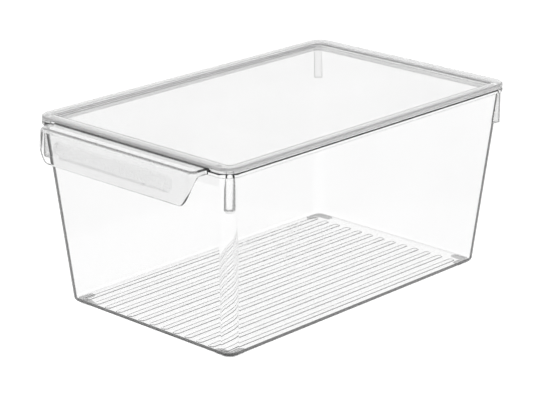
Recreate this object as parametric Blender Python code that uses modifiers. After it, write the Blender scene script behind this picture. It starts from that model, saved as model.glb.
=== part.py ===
"""Clear storage bin with a lift-off lid, a moulded pull handle and four foot pads.

Units are metres, +Z up.  X runs across the bin, Y along it, and the pull handle is at -Y.
The origin is on the ground, under the centre of the whole part's box.
"""
import math

import bmesh
import bpy
from mathutils import Matrix, Vector

MM = 0.001
TOUCH_GAP = 0.3 * MM          # gap left between pieces that rest on each other
MERGE = 0.01 * MM
CUT_MARGIN = 5.0 * MM         # how far a cutter runs past what it cuts

# Tub: tapered walls on a flat floor, standing on the foot pads
FOOT_HEIGHT = 1.0 * MM
BASE_HALF_WIDTH = 89.95 * MM
BASE_HALF_LENGTH = 148.42 * MM
SLOPE_X = 0.0832              # growth of the half width per unit of height
SLOPE_Y = 0.0937              # growth of the half length per unit of height
WALL = 2.0 * MM
FLOOR = 2.2 * MM
CORNER_RADIUS = 10.0 * MM
BASE_EDGE_RADIUS = 3.5 * MM
INSIDE_EDGE_RADIUS = 2.4 * MM
TUB_TOP = 153.9 * MM
CORNER_STEPS = 6
EDGE_STEPS = 3

# Flange that runs round the tub just below its top, and the posts under it
RIM_HALF_WIDTH = 105.0 * MM
RIM_HALF_LENGTH = 165.0 * MM
RIM_RADIUS = 13.0 * MM
FLANGE_BOTTOM = 148.7 * MM
FLANGE_TOP = 151.9 * MM
FLANGE_EDGE_RADIUS = 1.1 * MM
POST_WIDTH = 8.2 * MM
POST_WALL = 1.2 * MM
POST_BOTTOM = 121.6 * MM
POST_OUTER = 11.6 * MM        # from the rim corner's centre
POST_TURN = 0.7               # 1 is along the corner's diagonal, 0 is square to the long side

# Pull handle: a shelf that turns down into a plate along its front and its two sides
SHELF_TOP = 153.7 * MM
HANDLE_THICKNESS = 2.2 * MM
HANDLE_HALF_WIDTH = 85.0 * MM
HANDLE_REACH = 15.6 * MM      # from the flange's edge to the shelf's bend
HANDLE_ROOT = 3.4 * MM        # how far inside the flange's edge the shelf starts
HANDLE_SIDE_ROOT = 3.0 * MM   # how far inside the flange's edge its sides start
HANDLE_CORNER = 7.0 * MM      # corner radius in plan
HANDLE_NARROWING = 3.0 * MM   # how much narrower the shelf is where it starts
HANDLE_BEND = 3.0 * MM
HANDLE_DROP = 27.2 * MM
SIDE_DROP = 4.2 * MM          # drop of the handle's sides where they reach the rim
PLATE_LEAN = 2.0 * MM         # how much further out the plate's bottom edge is
SWOOP_START = -7.0 * MM       # where the bottom edge starts to rise, from the front's end
SWOOP_LENGTH = 18.0 * MM
SWOOP_POWER = 1.25
GRIP_HALF_LENGTH = 65.0 * MM
GRIP_HEIGHT = 14.0 * MM
GRIP_CENTRE_Z = 140.5 * MM
GRIP_DEPTH = 0.6 * MM
GRIP_STEPS = 10
BEND_STEPS = 4
PLATE_STEPS = 4

# Floor ribs
RIB_COUNT = 13
RIB_PITCH = 12.8 * MM
RIB_WIDTH = 6.2 * MM
RIB_HEIGHT = 0.4 * MM
RIB_HALF_LENGTH = 137.2 * MM
RIB_CENTRE_Y = -5.8 * MM
RIB_STEPS = 6

# Foot pads: an L under each corner of the floor
FOOT_INSET = 3.5 * MM
FOOT_ARM = 18.0 * MM
FOOT_WIDTH = 7.0 * MM
FOOT_INNER_RADIUS = 1.5 * MM

# Lid: a raised band round a sunken panel
LID_TOP = 156.3 * MM
LID_SKIRT_BOTTOM = FLANGE_TOP + TOUCH_GAP
LID_THICKNESS = 2.0 * MM
LID_SKIRT = 1.6 * MM
LID_EDGE_RADIUS = 1.4 * MM
BAND_SIDE = 8.2 * MM
BAND_END = 10.4 * MM
PANEL_TOP = 152.5 * MM
PANEL_THICKNESS = 1.6 * MM
LID_RELIEF_HALF_WIDTH = 87.5 * MM

# The handle makes the whole longer than the rim, so the tub sits off the origin
TUB_CENTRE_Y = (HANDLE_REACH + PLATE_LEAN) / 2


def start_scene():
    """Empty the scene and make the collections for the parts and their tools."""
    for old in list(bpy.data.objects):
        bpy.data.objects.remove(old, do_unlink=True)
    collections = {}
    for name in ("storage_bin", "storage_bin_tools"):
        collection = bpy.data.collections.new(name)
        bpy.context.scene.collection.children.link(collection)
        collections[name] = collection
    return collections["storage_bin"], collections["storage_bin_tools"]


PARTS, TOOLS = start_scene()


def plastic(name, colour, roughness, transmission):
    """A plastic with the given colour, surface roughness and clearness."""
    material = bpy.data.materials.new(name)
    material.use_nodes = True
    shader = material.node_tree.nodes["Principled BSDF"]
    shader.inputs["Base Color"].default_value = (*colour, 1.0)
    shader.inputs["Roughness"].default_value = roughness
    shader.inputs["Metallic"].default_value = 0.0
    shader.inputs["Transmission Weight"].default_value = transmission
    shader.inputs["IOR"].default_value = 1.57
    return material


def add_object(name, mesh, collection):
    """Link a mesh to a collection; a tool is drawn as wire and isn't rendered."""
    piece = bpy.data.objects.new(name, mesh)
    collection.objects.link(piece)
    if collection is TOOLS:
        piece.hide_render = True
        piece.display_type = "WIRE"
    return piece


def shade(piece, material):
    """Give a part its material and smooth shading with crisp edges."""
    piece.data.materials.clear()
    piece.data.materials.append(material)
    piece.data.shade_smooth()
    piece.data.set_sharp_from_angle(angle=math.radians(35))


def level_edges(mesh, height):
    """Edges of a mesh that lie flat at a height."""
    return [edge for edge in mesh.edges if all(abs(v.co.z - height) < MERGE for v in edge.verts)]


def rounded_block(name, bottom, top, radius, collection=TOOLS, bottom_edge=0.0, top_edge=0.0):
    """A block between two (half width, half length, height) ends, with rounded corners."""
    mesh = bmesh.new()
    bmesh.ops.create_cube(mesh, size=2.0)
    for vertex in mesh.verts:
        half_width, half_length, height = top if vertex.co.z > 0 else bottom
        vertex.co = (vertex.co.x * half_width, vertex.co.y * half_length, height)
    uprights = [edge for edge in mesh.edges if abs(edge.verts[0].co.z - edge.verts[1].co.z) > MERGE]
    bmesh.ops.bevel(mesh, geom=uprights, offset=radius, segments=CORNER_STEPS, profile=0.5,
                    affect="EDGES")
    for height, edge_radius in ((bottom[2], bottom_edge), (top[2], top_edge)):
        if edge_radius:
            bmesh.ops.bevel(mesh, geom=level_edges(mesh, height), offset=edge_radius,
                            segments=EDGE_STEPS, profile=0.5, affect="EDGES")
    data = bpy.data.meshes.new(name)
    mesh.to_mesh(data)
    mesh.free()
    return add_object(name, data, collection)


def arc(centre, radius, start, end, steps):
    """Points along an arc, with its angles in degrees."""
    angles = [math.radians(start + (end - start) * step / steps) for step in range(steps + 1)]
    return [(centre[0] + radius * math.cos(a), centre[1] + radius * math.sin(a)) for a in angles]


def slot_outline(centre, half_length, half_width, steps):
    """A slot along Y with round ends."""
    x, y = centre
    straight = half_length - half_width
    far_end = arc((x, y + straight), half_width, 0, 180, steps)
    near_end = arc((x, y - straight), half_width, 180, 360, steps)
    return far_end + near_end


def prism(name, outlines, bottom, top, collection=TOOLS):
    """Flat outlines in XY, filled and extruded between two heights."""
    curve = bpy.data.curves.new(name, "CURVE")
    curve.dimensions = "2D"
    curve.fill_mode = "BOTH"
    curve.extrude = (top - bottom) / 2
    for outline in outlines:
        spline = curve.splines.new("POLY")
        spline.points.add(len(outline) - 1)
        for point, (x, y) in zip(spline.points, outline):
            point.co = (x, y, 0.0, 1.0)
        spline.use_cyclic_u = True
    outline_object = bpy.data.objects.new(name + "_outline", curve)
    PARTS.objects.link(outline_object)
    depsgraph = bpy.context.evaluated_depsgraph_get()
    data = bpy.data.meshes.new_from_object(outline_object.evaluated_get(depsgraph))
    bpy.data.objects.remove(outline_object)
    mesh = bmesh.new()
    mesh.from_mesh(data)
    bmesh.ops.translate(mesh, verts=mesh.verts, vec=(0, 0, (top + bottom) / 2))
    bmesh.ops.remove_doubles(mesh, verts=mesh.verts, dist=MERGE)
    bmesh.ops.recalc_face_normals(mesh, faces=mesh.faces)
    mesh.to_mesh(data)
    mesh.free()
    data.name = name
    return add_object(name, data, collection)


def combine(target, tool, operation):
    """Join a tool to a part, or cut it out of it."""
    modifier = target.modifiers.new(tool.name, "BOOLEAN")
    modifier.object = tool
    modifier.operation = operation
    modifier.solver = "EXACT"


def tub_section(height, inset=0.0):
    """The tub's outer (half width, half length, height) at a height, less an inset."""
    rise = height - FOOT_HEIGHT
    half_width = BASE_HALF_WIDTH + SLOPE_X * rise - inset
    half_length = BASE_HALF_LENGTH + SLOPE_Y * rise - inset
    return (half_width, half_length, height)


def rim_section(height, inset_x=0.0, inset_y=0.0):
    """The rim's (half width, half length, height), less an inset on the sides and ends."""
    return (RIM_HALF_WIDTH - inset_x, RIM_HALF_LENGTH - inset_y, height)


def corner_posts(name, half_width, outer, bottom, top):
    """Columns under the flange's corners, round on their outer side."""
    corner_x = RIM_HALF_WIDTH - RIM_RADIUS
    corner_y = RIM_HALF_LENGTH - RIM_RADIUS
    outline = arc((outer - half_width, 0), half_width, -90, 90, CORNER_STEPS)
    outline += [(0, half_width), (0, -half_width)]
    posts = []
    for side_x, side_y in ((1, 1), (-1, 1), (-1, -1), (1, -1)):
        post = prism(name, [outline], bottom, top)
        post.rotation_euler.z = math.atan2(side_y * POST_TURN, side_x)
        post.location = (side_x * corner_x, side_y * corner_y, 0)
        posts.append(post)
    return posts


def handle_stations():
    """Points round the handle's edge: x, y, outward direction x and y, distance past the front."""
    front = HANDLE_HALF_WIDTH - HANDLE_CORNER
    front_y = -RIM_HALF_LENGTH - HANDLE_REACH
    corner_y = front_y + HANDLE_CORNER
    corner_length = HANDLE_CORNER * math.pi / 2
    side_length = -RIM_HALF_LENGTH + HANDLE_SIDE_ROOT - corner_y
    straight = [0.0] + [front + SWOOP_START * (1 - step / 4) for step in range(4)]
    stations = [(x, front_y, 0.0, -1.0, x - front) for x in straight]
    for step in range(CORNER_STEPS + 1):
        turn = math.pi / 2 * step / CORNER_STEPS
        x = front + HANDLE_CORNER * math.sin(turn)
        y = corner_y - HANDLE_CORNER * math.cos(turn)
        stations.append((x, y, math.sin(turn), -math.cos(turn), HANDLE_CORNER * turn))
    for step in range(1, 5):
        along = side_length * step / 4
        stations.append((HANDLE_HALF_WIDTH, corner_y + along, 1.0, 0.0, corner_length + along))
    mirrored = [(-x, y, -out_x, out_y, past) for x, y, out_x, out_y, past in reversed(stations[1:])]
    return mirrored + stations


def handle_drop(past):
    """How far the handle's edge hangs down, at a distance past the end of its front."""
    swoop = min(1.0, max(0.0, (past - SWOOP_START) / SWOOP_LENGTH)) ** SWOOP_POWER
    ease = swoop * swoop * (3 - 2 * swoop)
    return HANDLE_DROP + (SIDE_DROP - HANDLE_DROP) * ease


def handle_column(station, root_share):
    """Points from the rim over the shelf, round the bend and down the plate."""
    x, y, out_x, out_y, past = station
    drop = handle_drop(past)
    root_x = math.copysign(root_share * (HANDLE_HALF_WIDTH - HANDLE_NARROWING), x)
    root_y = -RIM_HALF_LENGTH + HANDLE_ROOT
    bend_x = x - out_x * HANDLE_BEND
    bend_y = y - out_y * HANDLE_BEND
    points = [(root_x, root_y, SHELF_TOP), ((root_x + bend_x) / 2, (root_y + bend_y) / 2, SHELF_TOP)]
    for step in range(BEND_STEPS + 1):
        turn = math.pi / 2 * step / BEND_STEPS
        out = HANDLE_BEND * math.sin(turn)
        height = SHELF_TOP - HANDLE_BEND * (1 - math.cos(turn))
        points.append((bend_x + out_x * out, bend_y + out_y * out, height))
    for step in range(1, PLATE_STEPS + 1):
        down = (drop - HANDLE_BEND) * step / PLATE_STEPS
        out = PLATE_LEAN * down / (HANDLE_DROP - HANDLE_BEND)
        points.append((x + out_x * out, y + out_y * out, SHELF_TOP - HANDLE_BEND - down))
    return points


def handle_surface():
    """The handle's outer face as a bent sheet, thickened inward."""
    mesh = bmesh.new()
    stations = handle_stations()
    front = HANDLE_HALF_WIDTH - HANDLE_CORNER
    length = front + stations[-1][4]
    columns = []
    for station in stations:
        root_share = (front + station[4]) / length
        columns.append([mesh.verts.new(point) for point in handle_column(station, root_share)])
    for left, right in zip(columns, columns[1:]):
        for i in range(len(left) - 1):
            mesh.faces.new((left[i], left[i + 1], right[i + 1], right[i]))
    data = bpy.data.meshes.new("handle")
    mesh.to_mesh(data)
    mesh.free()
    handle = add_object("handle", data, TOOLS)
    thicken = handle.modifiers.new("thickness", "SOLIDIFY")
    thicken.thickness = HANDLE_THICKNESS
    thicken.offset = -1.0
    thicken.use_even_offset = True
    return handle


def grip_recess():
    """The shallow slot that is sunk into the handle plate's outer face."""
    face_height = HANDLE_DROP - HANDLE_BEND
    lean = math.atan2(PLATE_LEAN, face_height)
    down = (SHELF_TOP - HANDLE_BEND - GRIP_CENTRE_Z) / face_height
    outline = slot_outline((0, 0), GRIP_HALF_LENGTH, GRIP_HEIGHT / 2, GRIP_STEPS)
    recess = prism("grip_recess", [outline], -GRIP_DEPTH, WALL)
    turn = Matrix.Rotation(math.pi / 2 - lean, 4, "X") @ Matrix.Rotation(math.pi / 2, 4, "Z")
    face = Vector((0, -RIM_HALF_LENGTH - HANDLE_REACH - PLATE_LEAN * down, GRIP_CENTRE_Z))
    recess.matrix_world = Matrix.Translation(face) @ turn
    return recess


def floor_ribs():
    """Low ribs along the floor, round at both ends."""
    floor_top = FOOT_HEIGHT + FLOOR
    outlines = []
    for index in range(RIB_COUNT):
        x = (index - (RIB_COUNT - 1) / 2) * RIB_PITCH
        outlines.append(slot_outline((x, RIB_CENTRE_Y), RIB_HALF_LENGTH, RIB_WIDTH / 2, RIB_STEPS))
    return prism("floor_ribs", outlines, floor_top - FLOOR / 2, floor_top + RIB_HEIGHT)


def build_tub(material):
    """The tub: walls, floor, flange, corner posts, floor ribs and pull handle, one moulding."""
    tub = rounded_block("tub", tub_section(FOOT_HEIGHT), tub_section(TUB_TOP), CORNER_RADIUS,
                        PARTS, bottom_edge=BASE_EDGE_RADIUS)
    flange = rounded_block("flange", rim_section(FLANGE_BOTTOM), rim_section(FLANGE_TOP), RIM_RADIUS,
                           bottom_edge=FLANGE_EDGE_RADIUS, top_edge=FLANGE_EDGE_RADIUS)
    combine(tub, flange, "UNION")
    for post in corner_posts("corner_post", POST_WIDTH / 2, POST_OUTER, POST_BOTTOM, FLANGE_TOP - WALL):
        combine(tub, post, "UNION")
    combine(tub, handle_surface(), "UNION")
    combine(tub, grip_recess(), "DIFFERENCE")
    above = TUB_TOP + CUT_MARGIN
    inside = rounded_block("inside", tub_section(FOOT_HEIGHT + FLOOR, WALL), tub_section(above, WALL),
                           CORNER_RADIUS - WALL, bottom_edge=INSIDE_EDGE_RADIUS)
    combine(tub, inside, "DIFFERENCE")
    channel_half_width = POST_WIDTH / 2 - POST_WALL
    for channel in corner_posts("post_channel", channel_half_width, POST_OUTER - POST_WALL,
                                POST_BOTTOM + POST_WALL, above):
        combine(tub, channel, "DIFFERENCE")
    combine(tub, floor_ribs(), "UNION")
    shade(tub, material)
    return tub


def build_feet(material):
    """An L-shaped pad under each corner of the floor."""
    base_radius = CORNER_RADIUS - FOOT_INSET
    end = FOOT_WIDTH / 2
    inner = FOOT_WIDTH + FOOT_INNER_RADIUS
    outline = arc((base_radius, base_radius), base_radius, 180, 270, CORNER_STEPS)
    outline += arc((FOOT_ARM - end, end), end, -90, 90, CORNER_STEPS)
    outline += arc((inner, inner), FOOT_INNER_RADIUS, 270, 180, EDGE_STEPS)
    outline += arc((end, FOOT_ARM - end), end, 0, 180, CORNER_STEPS)
    corners = {
        "foot_front_left": (-1, -1, 0),
        "foot_front_right": (1, -1, 90),
        "foot_rear_right": (1, 1, 180),
        "foot_rear_left": (-1, 1, 270),
    }
    feet = []
    for name, (side_x, side_y, turn) in corners.items():
        foot = prism(name, [outline], 0.0, FOOT_HEIGHT - TOUCH_GAP, PARTS)
        foot.location.x = side_x * (BASE_HALF_WIDTH - FOOT_INSET)
        foot.location.y = side_y * (BASE_HALF_LENGTH - FOOT_INSET)
        foot.rotation_euler.z = math.radians(turn)
        shade(foot, material)
        feet.append(foot)
    return feet


def build_lid(material):
    """The lid: a raised band round a sunken panel, open below where it sits over the rim."""
    panel_bottom = PANEL_TOP - PANEL_THICKNESS
    band_bottom = LID_TOP - LID_THICKNESS
    above = LID_TOP + CUT_MARGIN
    below = panel_bottom - CUT_MARGIN
    lid = rounded_block("lid", rim_section(panel_bottom), rim_section(LID_TOP), RIM_RADIUS,
                        PARTS, top_edge=LID_EDGE_RADIUS)
    well = rounded_block("lid_well", rim_section(PANEL_TOP, BAND_SIDE, BAND_END),
                         rim_section(above, BAND_SIDE, BAND_END), RIM_RADIUS - BAND_SIDE)
    under = rounded_block("lid_under", rim_section(below, -CUT_MARGIN, -CUT_MARGIN),
                          rim_section(LID_SKIRT_BOTTOM, -CUT_MARGIN, -CUT_MARGIN), RIM_RADIUS)
    channel = rounded_block("lid_channel", rim_section(below, LID_SKIRT, LID_SKIRT),
                            rim_section(band_bottom, LID_SKIRT, LID_SKIRT), RIM_RADIUS - LID_SKIRT)
    relief = rounded_block("lid_relief", (LID_RELIEF_HALF_WIDTH, RIM_RADIUS, below),
                           (LID_RELIEF_HALF_WIDTH, RIM_RADIUS, band_bottom), LID_SKIRT)
    relief.location.y = -RIM_HALF_LENGTH
    plug_side = BAND_SIDE - LID_THICKNESS
    plug_end = BAND_END - LID_THICKNESS
    plug = rounded_block("lid_plug", rim_section(below - CUT_MARGIN, plug_side, plug_end),
                         rim_section(above, plug_side, plug_end), RIM_RADIUS - plug_side)
    combine(under, channel, "UNION")
    combine(under, relief, "UNION")
    combine(under, plug, "DIFFERENCE")
    combine(lid, under, "DIFFERENCE")
    combine(lid, well, "DIFFERENCE")
    shade(lid, material)
    return lid


def stand_at(name, location):
    """An empty that carries pieces."""
    stand = bpy.data.objects.new(name, None)
    stand.location = location
    PARTS.objects.link(stand)
    return stand


def main():
    """Build every piece, then carry the pieces and their tools on two empties."""
    clear = plastic("clear_plastic", (0.95, 0.96, 0.96), 0.04, 1.0)
    lid_clear = plastic("lid_clear_plastic", (0.94, 0.95, 0.95), 0.05, 1.0)
    pad = plastic("foot_pad_plastic", (0.62, 0.63, 0.64), 0.45, 0.6)
    tub = build_tub(clear)
    feet = build_feet(pad)
    lid = build_lid(lid_clear)
    tub_centre = stand_at("tub_centre", (0, TUB_CENTRE_Y, 0))
    lid_lift = stand_at("lid_lift", (0, TUB_CENTRE_Y, LID_SKIRT_BOTTOM))
    for piece in [tub, *feet, *TOOLS.objects]:
        piece.parent = tub_centre
    lid.parent = lid_lift
    lid.location.z = -LID_SKIRT_BOTTOM


main()
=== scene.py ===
"""Clear storage bin with a lift-off lid: finished meshes, plastics and studio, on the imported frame.

Units are metres, +Z up, in the frame of the CAD model.  The pull handle is at -Y.
"""
import math

import bmesh
import bpy
from mathutils import Matrix, Vector


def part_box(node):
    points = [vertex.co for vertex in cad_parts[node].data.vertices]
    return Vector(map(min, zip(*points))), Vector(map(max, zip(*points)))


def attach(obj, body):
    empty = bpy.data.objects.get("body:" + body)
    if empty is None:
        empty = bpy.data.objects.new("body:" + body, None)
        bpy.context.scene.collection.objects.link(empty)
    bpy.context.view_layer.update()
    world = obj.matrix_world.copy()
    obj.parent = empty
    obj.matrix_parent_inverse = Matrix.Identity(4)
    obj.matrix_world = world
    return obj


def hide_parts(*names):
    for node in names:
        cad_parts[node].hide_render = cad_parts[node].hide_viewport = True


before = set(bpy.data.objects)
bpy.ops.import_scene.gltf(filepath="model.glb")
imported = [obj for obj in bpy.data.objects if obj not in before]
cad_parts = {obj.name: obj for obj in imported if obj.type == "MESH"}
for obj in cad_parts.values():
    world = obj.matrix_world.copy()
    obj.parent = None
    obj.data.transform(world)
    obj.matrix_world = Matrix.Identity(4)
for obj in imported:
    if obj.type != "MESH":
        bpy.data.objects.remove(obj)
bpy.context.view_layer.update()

MM = 0.001
MERGE = 0.01 * MM
LOFT_MERGE = 0.001 * MM
CUT_MARGIN = 5.0 * MM
SHARP_ANGLE = math.radians(38)
FLAT_FACE_WEIGHT = 80

# Tub
FOOT_HEIGHT = 1.0 * MM
BASE_HALF_WIDTH = 89.95 * MM
BASE_HALF_LENGTH = 148.42 * MM
SLOPE_X = 0.0832
SLOPE_Y = 0.0937
WALL = 2.0 * MM
FLOOR = 2.2 * MM
CORNER_RADIUS = 10.0 * MM
BASE_EDGE_RADIUS = 3.5 * MM
INSIDE_EDGE_RADIUS = 2.4 * MM
TUB_TOP = 153.9 * MM
TOP_EDGE_RADIUS = 0.6 * MM
CORNER_STEPS = 16
EDGE_STEPS = 5
SMALL_EDGE_STEPS = 4
FILLET_STEPS = 3

# Flange and corner posts
RIM_HALF_WIDTH = 105.0 * MM
RIM_HALF_LENGTH = 165.0 * MM
RIM_RADIUS = 13.0 * MM
FLANGE_BOTTOM = 148.7 * MM
FLANGE_TOP = 151.9 * MM
FLANGE_EDGE_RADIUS = 1.1 * MM
FLANGE_FILLET = 0.6 * MM
POST_WIDTH = 8.2 * MM
POST_WALL = 1.2 * MM
POST_BOTTOM = 121.6 * MM
POST_OUTER = 11.6 * MM
POST_TURN = 0.7               # 1 is along the corner's diagonal, 0 is square to the long side
POST_EDGE_RADIUS = 1.6 * MM

# Pull handle: a shelf that turns down into a plate along its front and its two sides
SHELF_TOP = 153.7 * MM
HANDLE_THICKNESS = 2.2 * MM
HANDLE_HALF_WIDTH = 85.0 * MM
HANDLE_REACH = 15.6 * MM
HANDLE_ROOT = 3.4 * MM
HANDLE_SIDE_ROOT = 3.0 * MM
HANDLE_CORNER = 7.0 * MM
HANDLE_NARROWING = 3.0 * MM
HANDLE_BEND = 3.0 * MM
HANDLE_SPAN_STEPS = 12        # along each straight stretch of the handle's edge
BEND_STEPS = 8
PLATE_STEPS = 10
HANDLE_EDGE_RADIUS = 0.8 * MM
HANDLE_DROP = 27.2 * MM
SIDE_DROP = 4.2 * MM
PLATE_LEAN = 2.0 * MM
SWOOP_START = -7.0 * MM
SWOOP_LENGTH = 18.0 * MM
SWOOP_POWER = 1.25
GRIP_HALF_LENGTH = 65.0 * MM
GRIP_HEIGHT = 14.0 * MM
GRIP_CENTRE_Z = 140.5 * MM
GRIP_DEPTH = 0.6 * MM
GRIP_BLEND = 2.4 * MM         # width of the soft edge round the grip recess
GRIP_BLEND_STEPS = 8
BEND_FACING = -0.05           # faces of the bend that turn further to the front than this get the satin plastic, as a painted highlight band

# Floor ribs
RIB_COUNT = 13
RIB_PITCH = 12.8 * MM
RIB_WIDTH = 6.2 * MM
RIB_HALF_LENGTH = 137.2 * MM
RIB_CENTRE_Y = -5.8 * MM
RIB_STEPS = 8
# A rib's section, from inside the floor up to the flat groove along its middle: how far in from the
# rib's side, and how high above the floor, in mm
RIB_SECTION = ((-0.3, -1.0), (-0.3, 0.0), (-0.1, 0.05), (0.02, 0.16), (0.12, 0.28), (0.3, 0.35),
               (0.6, 0.37), (0.85, 0.34), (1.1, 0.26), (1.4, 0.23))

# Foot pads
FOOT_INSET = 3.5 * MM
FOOT_ARM = 18.0 * MM
FOOT_WIDTH = 7.0 * MM
FOOT_INNER_RADIUS = 1.5 * MM
FOOT_EDGE_RADIUS = 0.2 * MM
FOOT_EDGE_SEGMENTS = 3
TOUCH_GAP = 0.3 * MM

# Lid
LID_TOP = 156.3 * MM
LID_SKIRT_BOTTOM = FLANGE_TOP + TOUCH_GAP
LID_THICKNESS = 2.0 * MM
LID_SKIRT = 1.6 * MM
LID_EDGE_RADIUS = 1.4 * MM
SOFT_EDGE = 0.35 * MM
SOFT_CORNER = ((0.0, 1.0), (0.3, 0.3), (1.0, 0.0))  # rise and inset round a soft corner, in soft edges
BAND_SIDE = 8.2 * MM
BAND_END = 10.4 * MM
PANEL_TOP = 152.5 * MM
PANEL_THICKNESS = 1.6 * MM
LID_RELIEF_HALF_WIDTH = 87.5 * MM

TUB_CENTRE_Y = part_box("tub")[1].y - RIM_HALF_LENGTH

# Plastics: the lightest and darkest grey of each tint, the share of light that passes through
# without being scattered, and the lowest and highest roughness
PLASTIC_IOR = 1.57
TUB_TINT = (0.994, 0.978)
TUB_CLEARNESS = 1.0
# The lid's scattered share, in its grey tint, is painted light: the haze lightens the dark lines along
# the lid's band and edges
LID_TINT = (0.97, 0.935)
LID_CLEARNESS = 0.78
POLISHED_ROUGHNESS = (0.0, 0.02)
HAIRLINE_ROUGHNESS = 0.12
# The satin's grey and scattered share also paint a highlight band on the handle's bend
SATIN_TINT = (0.96, 0.93)
ETCHED_CLEARNESS = 1.0
SATIN_CLEARNESS = 0.75
SATIN_ROUGHNESS = (0.2, 0.32)
PAD_IOR = 1.45
PAD_TINT = (0.60, 0.48)
PAD_CLEARNESS = 0.6
PAD_ROUGHNESS = (0.35, 0.55)

# Heights between which the scuffs at the base fade out, and the depths of the surface's patterns
SCUFF_FULL = 1.2 * MM
SCUFF_END = 3.5 * MM
FLOW_DEPTH = 0.12 * MM
FINE_DEPTH = 0.004 * MM
SATIN_DEPTH = 0.02 * MM
PAD_DEPTH = 0.03 * MM

# Studio: a direction's rise is the height of a unit arrow along it
STUDIO_LEVEL = 1.16           # just over white, to make up for what the walls reflect away
EDGE_FALLOFF = 0.12           # share of light left for each reflection inside the plastic
OVERHEAD_FALLOFF = 0.8        # the same share for light from overhead
HORIZON_HEIGHT = 0.0          # light from directions that rise less than this keeps the edge's share
OVERHEAD_HEIGHT = 0.22        # light from directions that rise more than this keeps the overhead share
LIGHT_BOUNCES = 24
GLOSSY_BOUNCES = 12
STAGE_FLOOR_REACH = 6.0
STAGE_FLOOR_CELLS = 8

# Camera, fitted to the object's outlines
CAMERA_AZIMUTH = math.radians(43.262)
CAMERA_ELEVATION = math.radians(18.759)
CAMERA_ROLL = math.radians(-0.042)
CAMERA_AIM = Vector((-18.07, 18.40, 61.05)) * MM
CAMERA_DISTANCE = 1742.5 * MM
CAMERA_LENS = 141.36
CAMERA_SENSOR = 36.0


# ---------------------------------------------------------------- mesh helpers

def ring(half_x, half_y, radius, z, steps=CORNER_STEPS, centre=(0.0, 0.0)):
    """Points round a rounded rectangle at a height."""
    points = []
    for side_x, side_y, start in ((1, 1, 0), (-1, 1, 90), (-1, -1, 180), (1, -1, 270)):
        x = centre[0] + side_x * (half_x - radius)
        y = centre[1] + side_y * (half_y - radius)
        for step in range(steps + 1):
            angle = math.radians(start + 90 * step / steps)
            points.append((x + radius * math.cos(angle), y + radius * math.sin(angle), z))
    return points


def add_object(name, data):
    """Put a new mesh or camera in the scene."""
    piece = bpy.data.objects.new(name, data)
    bpy.context.scene.collection.objects.link(piece)
    return piece


def loft(name, rings, triangles=False):
    """A closed solid through rings of points that all have the same number of points."""
    mesh = bmesh.new()
    rows = [[mesh.verts.new(point) for point in points] for points in rings]
    count = len(rows[0])
    for lower, upper in zip(rows, rows[1:]):
        for i in range(count):
            j = (i + 1) % count
            mesh.faces.new((lower[i], lower[j], upper[j], upper[i]))
    mesh.faces.new(reversed(rows[0]))
    mesh.faces.new(rows[-1])
    bmesh.ops.remove_doubles(mesh, verts=mesh.verts, dist=LOFT_MERGE)
    if triangles:
        bmesh.ops.triangulate(mesh, faces=mesh.faces)
    bmesh.ops.recalc_face_normals(mesh, faces=mesh.faces)
    data = bpy.data.meshes.new(name)
    mesh.to_mesh(data)
    mesh.free()
    return add_object(name, data)


def bake(piece):
    """Turn a piece's modifiers into its mesh."""
    depsgraph = bpy.context.evaluated_depsgraph_get()
    mesh = bpy.data.meshes.new_from_object(piece.evaluated_get(depsgraph))
    piece.modifiers.clear()
    piece.data = mesh
    return piece


def combine(target, tool, operation):
    """Join a tool to a piece, or cut it out of it, and remove the tool."""
    modifier = target.modifiers.new("combine", "BOOLEAN")
    modifier.object = tool
    modifier.operation = operation
    modifier.solver = "EXACT"
    modifier.material_mode = "TRANSFER"
    bake(target)
    bpy.data.objects.remove(tool)


def finish_mesh(piece):
    """Smooth shading that keeps flat faces flat and hard edges hard."""
    piece.data.shade_smooth()
    piece.data.set_sharp_from_angle(angle=SHARP_ANGLE)
    weighted = piece.modifiers.new("weighted_normal", "WEIGHTED_NORMAL")
    weighted.keep_sharp = True
    weighted.weight = FLAT_FACE_WEIGHT


def quarter(steps=EDGE_STEPS):
    """(along, up) pairs round a quarter of a unit circle, from the bottom to the side."""
    turns = [math.pi / 2 * step / steps for step in range(steps + 1)]
    return [(1 - math.sin(turn), 1 - math.cos(turn)) for turn in turns]


# ---------------------------------------------------------------- tub

def tub_ring(height, inset=0.0):
    """The tub's outer outline at a height, less an inset."""
    rise = height - FOOT_HEIGHT
    half_x = BASE_HALF_WIDTH + SLOPE_X * rise - inset
    half_y = BASE_HALF_LENGTH + SLOPE_Y * rise - inset
    return ring(half_x, half_y, CORNER_RADIUS - inset, height)


def rim_ring(height, inset=0.0):
    """The rim's outline, less an inset."""
    return ring(RIM_HALF_WIDTH - inset, RIM_HALF_LENGTH - inset, RIM_RADIUS - inset, height)


def tub_outside():
    """The tub's outer form with its flange, as a full block."""
    rings = []
    for along, up in quarter():
        rings.append(tub_ring(FOOT_HEIGHT + BASE_EDGE_RADIUS * up, BASE_EDGE_RADIUS * along))
    for along, up in reversed(quarter(FILLET_STEPS)):
        rings.append(tub_ring(FLANGE_BOTTOM - FLANGE_FILLET * up, -FLANGE_FILLET * along))
    for along, up in quarter():
        rings.append(rim_ring(FLANGE_BOTTOM + FLANGE_EDGE_RADIUS * up, FLANGE_EDGE_RADIUS * along))
    for along, up in reversed(quarter()):
        rings.append(rim_ring(FLANGE_TOP - FLANGE_EDGE_RADIUS * up, FLANGE_EDGE_RADIUS * along))
    for along, up in quarter(FILLET_STEPS):
        rings.append(tub_ring(FLANGE_TOP + FLANGE_FILLET * up, -FLANGE_FILLET * along))
    for along, up in reversed(quarter()):
        rings.append(tub_ring(TUB_TOP - TOP_EDGE_RADIUS * up, TOP_EDGE_RADIUS * along))
    return loft("tub_shell", rings)


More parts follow.
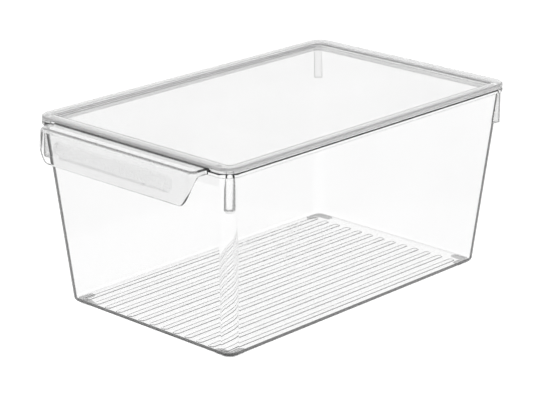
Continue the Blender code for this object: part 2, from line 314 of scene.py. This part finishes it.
def tub_inside():
    """The space inside the tub, flared at its mouth."""
    rings = []
    floor_top = FOOT_HEIGHT + FLOOR
    for along, up in quarter():
        rings.append(tub_ring(floor_top + INSIDE_EDGE_RADIUS * up, WALL + INSIDE_EDGE_RADIUS * along))
    for along, up in reversed(quarter()):
        rings.append(tub_ring(TUB_TOP - TOP_EDGE_RADIUS * up, WALL - TOP_EDGE_RADIUS * along))
    rings.append(tub_ring(TUB_TOP + CUT_MARGIN, WALL - TOP_EDGE_RADIUS))
    return loft("inside", rings)


def corner_columns(half_width, outer, bottom, top, edge_radius):
    """Upright columns under the flange's four corners, each turned towards its corner."""
    columns = []
    for side_x, side_y in ((1, 1), (-1, 1), (-1, -1), (1, -1)):
        half = outer / 2
        rings = []
        for along, up in quarter():
            inset = edge_radius * along
            rings.append(ring(half - inset, half_width - inset, half_width - inset,
                              bottom + edge_radius * up, centre=(half, 0)))
        rings.append(ring(half, half_width, half_width, top, centre=(half, 0)))
        column = loft("column", rings)
        column.rotation_euler.z = math.atan2(side_y * POST_TURN, side_x)
        column.location.x = side_x * (RIM_HALF_WIDTH - RIM_RADIUS)
        column.location.y = side_y * (RIM_HALF_LENGTH - RIM_RADIUS)
        columns.append(column)
    return columns


def handle_stations():
    """Points round the handle's edge: x, y, outward direction x and y, distance past the front."""
    front = HANDLE_HALF_WIDTH - HANDLE_CORNER
    front_y = -RIM_HALF_LENGTH - HANDLE_REACH
    corner_y = front_y + HANDLE_CORNER
    corner_length = HANDLE_CORNER * math.pi / 2
    side_length = -RIM_HALF_LENGTH + HANDLE_SIDE_ROOT - corner_y
    shares = [step / HANDLE_SPAN_STEPS for step in range(HANDLE_SPAN_STEPS)]
    straight = [(front + SWOOP_START) * share for share in shares]
    straight += [front + SWOOP_START * (1 - share) for share in shares]
    stations = [(x, front_y, 0.0, -1.0, x - front) for x in straight]
    for step in range(CORNER_STEPS + 1):
        turn = math.pi / 2 * step / CORNER_STEPS
        x = front + HANDLE_CORNER * math.sin(turn)
        y = corner_y - HANDLE_CORNER * math.cos(turn)
        stations.append((x, y, math.sin(turn), -math.cos(turn), HANDLE_CORNER * turn))
    for share in shares[1:] + [1.0]:
        along = side_length * share
        stations.append((HANDLE_HALF_WIDTH, corner_y + along, 1.0, 0.0, corner_length + along))
    mirrored = [(-x, y, -out_x, out_y, past) for x, y, out_x, out_y, past in reversed(stations[1:])]
    return mirrored + stations


def handle_drop(past):
    """How far the handle's edge hangs down, at a distance past the end of its front."""
    swoop = min(1.0, max(0.0, (past - SWOOP_START) / SWOOP_LENGTH)) ** SWOOP_POWER
    ease = swoop * swoop * (3 - 2 * swoop)
    return HANDLE_DROP + (SIDE_DROP - HANDLE_DROP) * ease


def handle_section(drop):
    """The handle's section as (out from its edge, height) points: over, down and back up inside."""
    bend_z = SHELF_TOP - HANDLE_BEND
    plate = drop - HANDLE_BEND
    lean = PLATE_LEAN / (HANDLE_DROP - HANDLE_BEND)
    edge = HANDLE_EDGE_RADIUS
    inner_bend = HANDLE_BEND - HANDLE_THICKNESS
    bend_turns = [math.pi / 2 * step / BEND_STEPS for step in range(BEND_STEPS + 1)]
    outer = [(-HANDLE_BEND * (1 - math.sin(t)), bend_z + HANDLE_BEND * math.cos(t)) for t in bend_turns]
    inner = [(inner_bend * math.sin(t) - HANDLE_BEND, bend_z + inner_bend * math.cos(t))
             for t in reversed(bend_turns)]
    downs = [(plate - edge) * step / PLATE_STEPS for step in range(1, PLATE_STEPS + 1)]
    outer += [(lean * down, bend_z - down) for down in downs]
    bottom = bend_z - plate
    tip = lean * plate
    for along, up in reversed(quarter(SMALL_EDGE_STEPS)):
        outer.append((tip - edge * along, bottom + edge * up))
    for along, up in quarter(SMALL_EDGE_STEPS):
        outer.append((tip - HANDLE_THICKNESS + edge * along, bottom + edge * up))
    inner = [(lean * down - HANDLE_THICKNESS, bend_z - down) for down in reversed(downs)] + inner
    return outer + inner


def handle():
    """The pull handle, as a solid lofted round its edge."""
    stations = handle_stations()
    front = HANDLE_HALF_WIDTH - HANDLE_CORNER
    length = front + stations[-1][4]
    root_y = -RIM_HALF_LENGTH + HANDLE_ROOT
    rings = []
    for x, y, out_x, out_y, past in stations:
        share = (front + past) / length
        root_x = math.copysign(share * (HANDLE_HALF_WIDTH - HANDLE_NARROWING), x)
        points = [(root_x, root_y, SHELF_TOP)]
        for out, z in handle_section(handle_drop(past)):
            points.append((x + out_x * out, y + out_y * out, z))
        points.append((root_x, root_y, SHELF_TOP - HANDLE_THICKNESS))
        rings.append(points)
    return loft("handle", rings, triangles=True)


def grip_recess(etched):
    """The shallow slot that is sunk into the handle plate's outer face."""
    face_height = HANDLE_DROP - HANDLE_BEND
    lean = math.atan2(PLATE_LEAN, face_height)
    down = (SHELF_TOP - HANDLE_BEND - GRIP_CENTRE_Z) / face_height
    half_y = GRIP_HALF_LENGTH
    half_x = GRIP_HEIGHT / 2
    rings = []
    for step in range(GRIP_BLEND_STEPS + 1):
        share = step / GRIP_BLEND_STEPS
        inset = GRIP_BLEND * (1 - share)
        rise = share * share * (3 - 2 * share)
        rings.append(ring(half_x - inset, half_y - inset, half_x - inset, GRIP_DEPTH * (rise - 1)))
    rings.append(ring(half_x, half_y, half_x, WALL))
    recess = loft("grip_recess", rings)
    recess.data.materials.append(etched)
    turn = Matrix.Rotation(math.pi / 2 - lean, 4, "X") @ Matrix.Rotation(math.pi / 2, 4, "Z")
    face = Vector((0, -RIM_HALF_LENGTH - HANDLE_REACH - PLATE_LEAN * down, GRIP_CENTRE_Z))
    recess.matrix_world = Matrix.Translation(face) @ turn
    return recess


def floor_ribs():
    """Low ribs along the floor, round at both ends."""
    floor_top = FOOT_HEIGHT + FLOOR
    ribs = []
    for index in range(RIB_COUNT):
        x = (index - (RIB_COUNT - 1) / 2) * RIB_PITCH
        rings = []
        for inset, rise in RIB_SECTION:
            half = RIB_WIDTH / 2 - inset * MM
            rings.append(ring(half, RIB_HALF_LENGTH - inset * MM, half, floor_top + rise * MM,
                              RIB_STEPS, (x, RIB_CENTRE_Y)))
        ribs.append(loft("rib", rings))
    return ribs


def paint_bend_highlight(tub, satin_and_painted_highlight):
    """Give the outer faces of the handle's bend the satin plastic, as a painted highlight: its scattered
    light grey stands in for the band of light along the bend.
    """
    slot = tub.data.materials.find(satin_and_painted_highlight.name)
    middle_y = -RIM_HALF_LENGTH - HANDLE_REACH / 2
    bend_bottom = SHELF_TOP - HANDLE_BEND
    for face in tub.data.polygons:
        on_bend = face.center.y < middle_y and face.center.z > bend_bottom
        if on_bend and face.normal.y < BEND_FACING:
            face.material_index = slot


def build_tub(clear, etched, satin_and_painted_highlight):
    """The tub: walls, floor, flange, corner posts, floor ribs and pull handle, one moulding."""
    tub = tub_outside()
    tub.data.materials.append(clear)
    for post in corner_columns(POST_WIDTH / 2, POST_OUTER, POST_BOTTOM, FLANGE_TOP - WALL,
                               POST_EDGE_RADIUS):
        post.data.materials.append(satin_and_painted_highlight)
        combine(tub, post, "UNION")
    combine(tub, handle(), "UNION")
    combine(tub, grip_recess(etched), "DIFFERENCE")
    combine(tub, tub_inside(), "DIFFERENCE")
    for channel in corner_columns(POST_WIDTH / 2 - POST_WALL, POST_OUTER - POST_WALL,
                                  POST_BOTTOM + POST_WALL, TUB_TOP + CUT_MARGIN, POST_EDGE_RADIUS / 2):
        combine(tub, channel, "DIFFERENCE")
    for rib in floor_ribs():
        combine(tub, rib, "UNION")
    # On the handle's bend the satin is a painted highlight band
    paint_bend_highlight(tub, satin_and_painted_highlight)
    return tub


# ---------------------------------------------------------------- foot pads and lid

def arc(centre, radius, start, end, steps):
    """Points along an arc, with its angles in degrees."""
    angles = [math.radians(start + (end - start) * step / steps) for step in range(steps + 1)]
    return [(centre[0] + radius * math.cos(a), centre[1] + radius * math.sin(a)) for a in angles]


def build_foot(name, side_x, side_y, turn, material):
    """An L-shaped pad with softened edges under one corner of the floor."""
    base_radius = CORNER_RADIUS - FOOT_INSET
    end = FOOT_WIDTH / 2
    inner = FOOT_WIDTH + FOOT_INNER_RADIUS
    outline = arc((base_radius, base_radius), base_radius, 180, 270, CORNER_STEPS)
    outline += arc((FOOT_ARM - end, end), end, -90, 90, CORNER_STEPS)
    outline += arc((inner, inner), FOOT_INNER_RADIUS, 270, 180, EDGE_STEPS)
    outline += arc((end, FOOT_ARM - end), end, 0, 180, CORNER_STEPS)
    mesh = bmesh.new()
    lower = [mesh.verts.new((x, y, 0.0)) for x, y in outline]
    upper = [mesh.verts.new((x, y, FOOT_HEIGHT - TOUCH_GAP)) for x, y in outline]
    count = len(outline)
    caps = [mesh.faces.new(reversed(lower)), mesh.faces.new(upper)]
    for i in range(count):
        j = (i + 1) % count
        mesh.faces.new((lower[i], lower[j], upper[j], upper[i]))
    bmesh.ops.remove_doubles(mesh, verts=mesh.verts, dist=MERGE)
    edges = [edge for edge in mesh.edges if abs(edge.verts[0].co.z - edge.verts[1].co.z) < MERGE]
    bmesh.ops.bevel(mesh, geom=edges, offset=FOOT_EDGE_RADIUS, segments=FOOT_EDGE_SEGMENTS,
                    profile=0.5, affect="EDGES")
    bmesh.ops.recalc_face_normals(mesh, faces=mesh.faces)
    data = bpy.data.meshes.new(name)
    mesh.to_mesh(data)
    mesh.free()
    data.materials.append(material)
    foot = add_object(name, data)
    foot.location.x = side_x * (BASE_HALF_WIDTH - FOOT_INSET)
    foot.location.y = side_y * (BASE_HALF_LENGTH - FOOT_INSET)
    foot.rotation_euler.z = math.radians(turn)
    return foot


def band_ring(height, side, end, inset=0.0):
    """A ring of the lid that is one distance in from its sides and one from its ends, less an inset."""
    half_x = RIM_HALF_WIDTH - side - inset
    half_y = RIM_HALF_LENGTH - end - inset
    return ring(half_x, half_y, RIM_RADIUS - side - inset, height)


def soft_corner(height, side, end, up, inwards):
    """Rings round a soft corner of the lid's section; up and inwards are 1, or -1 for the other way."""
    return [band_ring(height + up * SOFT_EDGE * rise, side, end, inwards * SOFT_EDGE * inset)
            for rise, inset in SOFT_CORNER]


def build_lid(clear):
    """The lid: a raised band round a sunken panel, open below where it sits over the rim."""
    edge = LID_EDGE_RADIUS
    band_bottom = LID_TOP - LID_THICKNESS
    panel_bottom = PANEL_TOP - PANEL_THICKNESS
    plug_side = BAND_SIDE - LID_THICKNESS
    plug_end = BAND_END - LID_THICKNESS
    rings = soft_corner(panel_bottom, plug_side, plug_end, 1, 1)
    rings += reversed(soft_corner(band_bottom, plug_side, plug_end, -1, -1))
    rings += soft_corner(band_bottom, LID_SKIRT, LID_SKIRT, -1, 1)
    rings.append(band_ring(LID_SKIRT_BOTTOM + SOFT_EDGE, LID_SKIRT, LID_SKIRT))
    rings.append(band_ring(LID_SKIRT_BOTTOM, LID_SKIRT, LID_SKIRT, -SOFT_EDGE))
    rings.append(rim_ring(LID_SKIRT_BOTTOM, SOFT_EDGE))
    rings.append(rim_ring(LID_SKIRT_BOTTOM + SOFT_EDGE))
    for along, up in reversed(quarter()):
        rings.append(rim_ring(LID_TOP - edge * up, edge * along))
    for along, up in quarter(SMALL_EDGE_STEPS):
        rings.append(band_ring(LID_TOP - SOFT_EDGE * up, BAND_SIDE, BAND_END, -SOFT_EDGE * along))
    for along, up in reversed(quarter(SMALL_EDGE_STEPS)):
        rings.append(band_ring(PANEL_TOP + SOFT_EDGE * up, BAND_SIDE, BAND_END, SOFT_EDGE * along))
    lid = loft("lid_shell", rings)
    lid.data.materials.append(clear)
    below = panel_bottom - CUT_MARGIN
    relief = loft("relief", [
        ring(LID_RELIEF_HALF_WIDTH, RIM_RADIUS, LID_SKIRT, below, centre=(0, -RIM_HALF_LENGTH)),
        ring(LID_RELIEF_HALF_WIDTH, RIM_RADIUS, LID_SKIRT, band_bottom, centre=(0, -RIM_HALF_LENGTH)),
    ])
    guard = loft("guard", [
        band_ring(below - CUT_MARGIN, plug_side, plug_end, -SOFT_EDGE),
        band_ring(LID_TOP + CUT_MARGIN, plug_side, plug_end, -SOFT_EDGE),
    ])
    combine(relief, guard, "DIFFERENCE")
    combine(lid, relief, "DIFFERENCE")
    return lid


# ---------------------------------------------------------------- materials

def add_node(tree, kind, settings=None, inputs=None):
    """Add a shader node; an input is set to a number, or linked if it is given a socket."""
    node = tree.nodes.new("ShaderNode" + kind)
    for name, value in (settings or {}).items():
        setattr(node, name, value)
    for name, value in (inputs or {}).items():
        if isinstance(value, bpy.types.NodeSocket):
            tree.links.new(value, node.inputs[name])
        else:
            node.inputs[name].default_value = value
    return node


def noise(tree, vector, scale, detail=3.0):
    """Smooth noise from 0 to 1; scale is in cells per metre."""
    inputs = {"Vector": vector, "Scale": scale, "Detail": detail}
    return add_node(tree, "TexNoise", inputs=inputs).outputs["Fac"]


def remap(tree, value, from_low, from_high, to_low, to_high):
    """A value taken from one range to another, and held at its ends."""
    inputs = {"Value": value, "From Min": from_low, "From Max": from_high,
              "To Min": to_low, "To Max": to_high}
    return add_node(tree, "MapRange", inputs=inputs).outputs["Result"]


def arithmetic(tree, operation, first, second):
    """One sum on two values."""
    return add_node(tree, "Math", {"operation": operation}, {0: first, 1: second}).outputs[0]


def scratches(tree, vector, turn, scale):
    """Fine straight hairlines along one direction, from 0 to 1, broken up into patches."""
    inputs = {"Vector": vector, "Rotation": (turn, turn * 0.7, turn * 1.3), "Scale": (1.0, 0.04, 1.0)}
    stretched = add_node(tree, "Mapping", inputs=inputs).outputs["Vector"]
    inputs = {"Vector": stretched, "Scale": scale, "Randomness": 1.0}
    cells = add_node(tree, "TexVoronoi", {"feature": "DISTANCE_TO_EDGE"}, inputs).outputs["Distance"]
    lines = remap(tree, cells, 0.0, 0.02, 1.0, 0.0)
    patches = remap(tree, noise(tree, vector, 30.0), 0.52, 0.68, 0.0, 1.0)
    return arithmetic(tree, "MULTIPLY", lines, patches)


def bump(tree, height, distance, strength, normal=None):
    """A bump of a height from 0 to 1, with its full depth in metres."""
    inputs = {"Height": height, "Distance": distance, "Strength": strength}
    if normal is not None:
        inputs["Normal"] = normal
    return add_node(tree, "Bump", inputs=inputs).outputs["Normal"]


def new_plastic(name, clearness, ior=PLASTIC_IOR):
    """A material with its shader's fixed values, and the coordinates that its patterns follow."""
    material = bpy.data.materials.new(name)
    material.use_nodes = True
    tree = material.node_tree
    shader = tree.nodes["Principled BSDF"]
    shader.inputs["Transmission Weight"].default_value = clearness
    shader.inputs["IOR"].default_value = ior
    vector = add_node(tree, "TexCoord").outputs["Object"]
    return material, tree, shader, vector


def set_tint(tree, shader, tint, share):
    """A grey that goes from the light end of a tint to its dark end as a share goes from 0 to 1."""
    light, dark = tint
    mix = add_node(tree, "Mix", {"data_type": "RGBA"}, {0: share})
    mix.inputs["A"].default_value = (light, light, light, 1.0)
    mix.inputs["B"].default_value = (dark, dark, dark, 1.0)
    tree.links.new(mix.outputs["Result"], shader.inputs["Base Color"])


def clear_plastic(name, tint, clearness):
    """Clear rigid plastic: a tint that varies, flow marks, hairlines, and scuffs near the ground."""
    material, tree, shader, vector = new_plastic(name, clearness)
    set_tint(tree, shader, tint, remap(tree, noise(tree, vector, 11.0), 0.3, 0.7, 0.0, 1.0))
    polish = remap(tree, noise(tree, vector, 16.0, 5.0), 0.35, 0.75, *POLISHED_ROUGHNESS)
    one_way = scratches(tree, vector, 0.6, 260.0)
    other_way = scratches(tree, vector, -0.9, 330.0)
    hairlines = arithmetic(tree, "MAXIMUM", one_way, other_way)
    height = add_node(tree, "SeparateXYZ", inputs={"Vector": vector}).outputs["Z"]
    near_ground = remap(tree, height, SCUFF_FULL, SCUFF_END, 1.0, 0.0)
    specks = remap(tree, noise(tree, vector, 420.0), 0.5, 0.7, 0.0, 1.0)
    scuffs = arithmetic(tree, "MULTIPLY", near_ground, specks)
    marks = arithmetic(tree, "MAXIMUM", hairlines, scuffs)
    wear = arithmetic(tree, "MULTIPLY", marks, HAIRLINE_ROUGHNESS)
    tree.links.new(arithmetic(tree, "ADD", polish, wear), shader.inputs["Roughness"])
    flow = bump(tree, noise(tree, vector, 9.0, 1.0), FLOW_DEPTH, 0.5)
    fine = bump(tree, noise(tree, vector, 700.0, 2.0), FINE_DEPTH, 0.3, flow)
    tree.links.new(fine, shader.inputs["Normal"])
    return material


def satin_plastic(name, clearness):
    """The same rigid plastic with a fine even grain, where the mould is etched; on the handle's bend it
    is a painted highlight band.
    """
    material, tree, shader, vector = new_plastic(name, clearness)
    set_tint(tree, shader, SATIN_TINT, noise(tree, vector, 60.0))
    grain = noise(tree, vector, 1600.0, 2.0)
    tree.links.new(remap(tree, grain, 0.3, 0.7, *SATIN_ROUGHNESS), shader.inputs["Roughness"])
    tree.links.new(bump(tree, grain, SATIN_DEPTH, 0.4), shader.inputs["Normal"])
    return material


def pad_plastic(name):
    """Milky, slightly grained plastic for the foot pads, a little darker in patches."""
    material, tree, shader, vector = new_plastic(name, PAD_CLEARNESS, PAD_IOR)
    set_tint(tree, shader, PAD_TINT, remap(tree, noise(tree, vector, 220.0, 4.0), 0.35, 0.7, 0.0, 1.0))
    grain = noise(tree, vector, 1500.0, 3.0)
    tree.links.new(remap(tree, grain, 0.3, 0.7, *PAD_ROUGHNESS), shader.inputs["Roughness"])
    tree.links.new(bump(tree, grain, PAD_DEPTH, 0.6), shader.inputs["Normal"])
    return material


# ---------------------------------------------------------------- studio

def studio_level(tree, falloff):
    """Light that is weaker for rays reflected inside the plastic, so its edges read as dark lines."""
    path = add_node(tree, "LightPath")
    inside = arithmetic(tree, "MINIMUM", path.outputs["Glossy Depth"], path.outputs["Transmission Depth"])
    return arithmetic(tree, "MULTIPLY", arithmetic(tree, "POWER", falloff, inside), STUDIO_LEVEL)


def overhead_falloff(tree):
    """The share of light left for each reflection: more from overhead than from near the horizon."""
    direction = add_node(tree, "TexCoord").outputs["Generated"]
    height = add_node(tree, "SeparateXYZ", inputs={"Vector": direction}).outputs["Z"]
    return remap(tree, height, HORIZON_HEIGHT, OVERHEAD_HEIGHT, EDGE_FALLOFF, OVERHEAD_FALLOFF)


def studio():
    """A pale floor and world that stay white behind the clear walls."""
    scene = bpy.context.scene
    scene.view_settings.view_transform = "Standard"
    scene.cycles.max_bounces = LIGHT_BOUNCES
    scene.cycles.transmission_bounces = LIGHT_BOUNCES
    scene.cycles.glossy_bounces = GLOSSY_BOUNCES
    scene.cycles.use_denoising = True
    world = bpy.data.worlds.new("studio_world")
    scene.world = world
    world.use_nodes = True
    background = world.node_tree.nodes["Background"]
    background.inputs["Color"].default_value = (1.0, 1.0, 1.0, 1.0)
    level = studio_level(world.node_tree, overhead_falloff(world.node_tree))
    world.node_tree.links.new(level, background.inputs["Strength"])

    mesh = bmesh.new()
    bmesh.ops.create_grid(mesh, x_segments=STAGE_FLOOR_CELLS, y_segments=STAGE_FLOOR_CELLS,
                          size=STAGE_FLOOR_REACH)
    data = bpy.data.meshes.new("studio_floor")
    mesh.to_mesh(data)
    mesh.free()
    floor = add_object("studio_floor", data)
    material = bpy.data.materials.new("studio_floor")
    material.use_nodes = True
    tree = material.node_tree
    tree.nodes.clear()
    output = add_node(tree, "OutputMaterial")
    emission = add_node(tree, "Emission", inputs={"Strength": studio_level(tree, EDGE_FALLOFF)})
    tree.links.new(emission.outputs["Emission"], output.inputs["Surface"])
    data.materials.append(material)


def add_camera():
    """The camera at the fitted viewing angle."""
    sin_a, cos_a = math.sin(CAMERA_AZIMUTH), math.cos(CAMERA_AZIMUTH)
    sin_e, cos_e = math.sin(CAMERA_ELEVATION), math.cos(CAMERA_ELEVATION)
    back = Vector((sin_a * cos_e, -cos_a * cos_e, sin_e))
    right = Vector((cos_a, sin_a, 0.0))
    up = back.cross(right)
    turn = Matrix((right, up, back)).transposed().to_4x4()
    data = bpy.data.cameras.new("camera")
    data.lens = CAMERA_LENS
    data.sensor_width = CAMERA_SENSOR
    camera = add_object("camera", data)
    roll = Matrix.Rotation(-CAMERA_ROLL, 4, "Z")
    camera.matrix_world = Matrix.Translation(CAMERA_AIM + back * CAMERA_DISTANCE) @ turn @ roll
    bpy.context.scene.camera = camera


def place(piece, node, body):
    """Move a piece from the tub's own frame into the model's, and let it stand for a CAD node."""
    piece.location.y += TUB_CENTRE_Y
    bpy.context.view_layer.update()
    piece.data.transform(piece.matrix_world)
    piece.matrix_world = Matrix.Identity(4)
    finish_mesh(piece)
    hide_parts(node)
    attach(piece, body)


def main():
    """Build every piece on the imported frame, then the studio round it."""
    tub_plastic = clear_plastic("tub_plastic", TUB_TINT, TUB_CLEARNESS)
    # The lid's haze is painted light that lightens its dark lines
    lid_plastic = clear_plastic("lid_plastic", LID_TINT, LID_CLEARNESS)
    pads = pad_plastic("foot_pad_plastic")
    etched = satin_plastic("etched_plastic", ETCHED_CLEARNESS)
    # Satin for the corner posts; on the handle's bend it is a painted highlight band
    satin_and_painted_highlight = satin_plastic("satin_plastic", SATIN_CLEARNESS)
    place(build_tub(tub_plastic, etched, satin_and_painted_highlight), "tub", "bin")
    place(build_lid(lid_plastic), "lid", "lid")
    corners = {
        "foot_front_left": (-1, -1, 0),
        "foot_front_right": (1, -1, 90),
        "foot_rear_right": (1, 1, 180),
        "foot_rear_left": (-1, 1, 270),
    }
    for node, (side_x, side_y, turn) in corners.items():
        pad = build_foot(node.replace("foot", "pad"), side_x, side_y, turn, pads)
        place(pad, node, "bin")
    studio()
    add_camera()


main()
